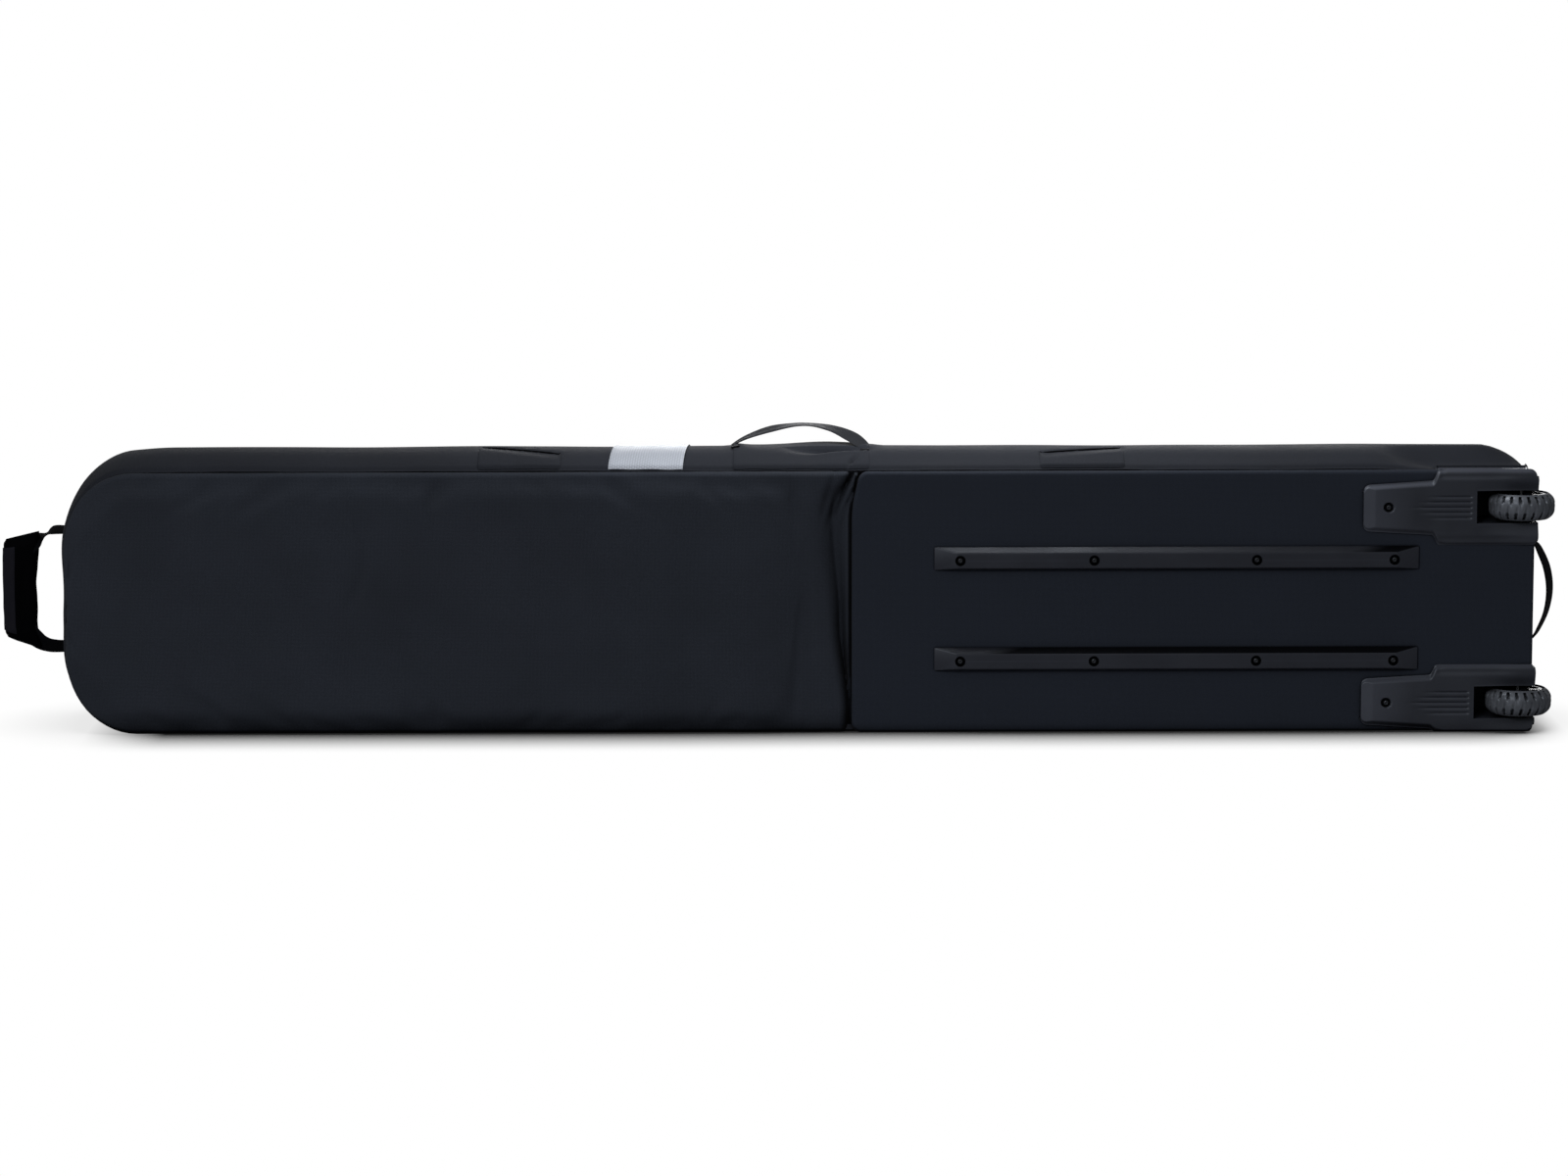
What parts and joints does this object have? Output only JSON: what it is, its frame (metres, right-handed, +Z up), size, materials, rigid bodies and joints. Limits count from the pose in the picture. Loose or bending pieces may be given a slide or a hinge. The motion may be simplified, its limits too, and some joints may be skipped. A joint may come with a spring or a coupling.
{
  "type": "wheeled snowboard bag",
  "caption": "Long padded snowboard bag with a stiff wheel half, corner wheel housings, back runners, three grab handles and a lid opened by a long zip.",
  "frame": {"origin": "middle of the flat face that the bag rests on when it stands on its long side", "axes": "+X along the length towards the wheels, +Y from the back face to the lid, +Z up across the width"},
  "size_m": [1.769, 0.2164, 0.3413],
  "materials": {
    "nose_fabric": "padded plain-weave polyester",
    "tail_fabric": "tarpaulin-backed polyester over a board",
    "gusset_fabric": "padded twill-weave polyester",
    "patch_fabric": "plain-weave polyester",
    "reflective": "light grey laminate with a small honeycomb emboss",
    "webbing": "woven polyester webbing",
    "grip": "padded fabric wrap",
    "zip_tape": "coil zip on woven tape",
    "zip_metal": "black enamelled",
    "moulded_plastic": "fine moulded texture",
    "stiffener": "extruded sheet",
    "tyre": "moulded tread with a slight shine",
    "hub": "moulded",
    "bearing_steel": "ground",
    "screw": "black oxide"
  },
  "bodies": {
    "bag": {"back_panel_nose": "nose_fabric", "back_panel_tail": "tail_fabric", "stiffener_board": "stiffener", "gusset_top": "gusset_fabric", "gusset_bottom": "gusset_fabric", "gusset_nose": "gusset_fabric", "gusset_tail": "gusset_fabric", "reflective_panel": "reflective", "side_handle_patch": "patch_fabric", "strap_sleeve_nose": "patch_fabric", "strap_sleeve_tail": "patch_fabric", "axle_upper": "bearing_steel", "housing_upper": "moulded_plastic", "housing_screw_upper": "screw", "rail_upper": "moulded_plastic", "rail_backing_upper": "stiffener", "rail_screw_upper_1": "screw", "rail_screw_upper_2": "screw", "rail_screw_upper_3": "screw", "rail_screw_upper_4": "screw", "axle_lower": "bearing_steel", "housing_lower": "moulded_plastic", "housing_screw_lower": "screw", "rail_lower": "moulded_plastic", "rail_backing_lower": "stiffener", "rail_screw_lower_1": "screw", "rail_screw_lower_2": "screw", "rail_screw_lower_3": "screw", "rail_screw_lower_4": "screw", "zipper_tape_body": "zip_tape", "lash_strap_nose": "webbing", "lash_strap_tail": "webbing", "lash_buckle_nose": "hub", "lash_buckle_tail": "hub"},
    "wheel_upper": {"tyre_upper": "tyre", "hub_upper": "hub", "bearing_outer_upper": "bearing_steel", "bearing_inner_upper": "bearing_steel"},
    "wheel_lower": {"tyre_lower": "tyre", "hub_lower": "hub", "bearing_outer_lower": "bearing_steel", "bearing_inner_lower": "bearing_steel"},
    "side_handle": {"side_handle": "webbing"},
    "nose_handle": {"nose_handle_webbing": "webbing", "nose_handle_grip": "grip"},
    "tail_handle": {"tail_handle": "webbing"},
    "lid": {"lid_panel": "nose_fabric", "lid_gusset": "gusset_fabric", "zipper_tape_lid": "zip_tape", "pocket_panel": "tail_fabric", "pocket_zipper": "zip_tape"},
    "slider_nose": {"zipper_slider_nose": "zip_metal"},
    "pull_nose": {"zipper_pull_nose": "zip_metal"},
    "slider_tail": {"zipper_slider_tail": "zip_metal"},
    "pull_tail": {"zipper_pull_tail": "zip_metal"},
    "pocket_slider": {"pocket_slider": "zip_metal"},
    "pocket_pull": {"pocket_pull": "zip_metal"}
  },
  "joints": [
    {"name": "wheel_upper_spin", "type": "hinge", "parent": "bag", "child": "wheel_upper", "pos_m": [0.8115, -0.076, 0.2546], "axis": [0, 0, 1], "continuous": true},
    {"name": "wheel_lower_spin", "type": "hinge", "parent": "bag", "child": "wheel_lower", "pos_m": [0.8115, -0.076, 0.0334], "axis": [0, 0, 1], "continuous": true},
    {"name": "lid_open", "type": "hinge", "parent": "bag", "child": "lid", "pos_m": [0, 0.06, 0], "axis": [-1, 0, 0], "range_deg": [0, 175]},
    {"name": "side_handle_swing", "type": "hinge", "parent": "bag", "child": "side_handle", "pos_m": [0.003, 0, 0.323], "axis": [1, 0, 0], "range_deg": [-50, 50]},
    {"name": "nose_handle_swing", "type": "hinge", "parent": "bag", "child": "nose_handle", "pos_m": [-0.842, 0, 0.157], "axis": [0, 0, 1], "range_deg": [-70, 70]},
    {"name": "tail_handle_swing", "type": "hinge", "parent": "bag", "child": "tail_handle", "pos_m": [0.842, 0, 0.148], "axis": [0, 0, 1], "range_deg": [-60, 60]},
    {"name": "zipper_slider_nose_travel", "type": "slide", "parent": "bag", "child": "slider_nose", "axis": [-1, 0, 0], "range_m": [0, 0.68]},
    {"name": "zipper_pull_nose_flip", "type": "hinge", "parent": "slider_nose", "child": "pull_nose", "pos_m": [-0.012, 0.06, 0.3035], "axis": [0, 1, 0], "range_deg": [0, 160]},
    {"name": "zipper_slider_tail_travel", "type": "slide", "parent": "bag", "child": "slider_tail", "axis": [1, 0, 0], "range_m": [0, 0.68]},
    {"name": "zipper_pull_tail_flip", "type": "hinge", "parent": "slider_tail", "child": "pull_tail", "pos_m": [0.012, 0.06, 0.3035], "axis": [0, -1, 0], "range_deg": [0, 160]},
    {"name": "pocket_slider_travel", "type": "slide", "parent": "lid", "child": "pocket_slider", "axis": [1, 0, 0], "range_m": [0, 0.59]},
    {"name": "pocket_pull_flip", "type": "hinge", "parent": "pocket_slider", "child": "pocket_pull", "pos_m": [0.142, 0.0992, 0.25], "axis": [0, 0, 1], "range_deg": [0, 160]}
  ]
}
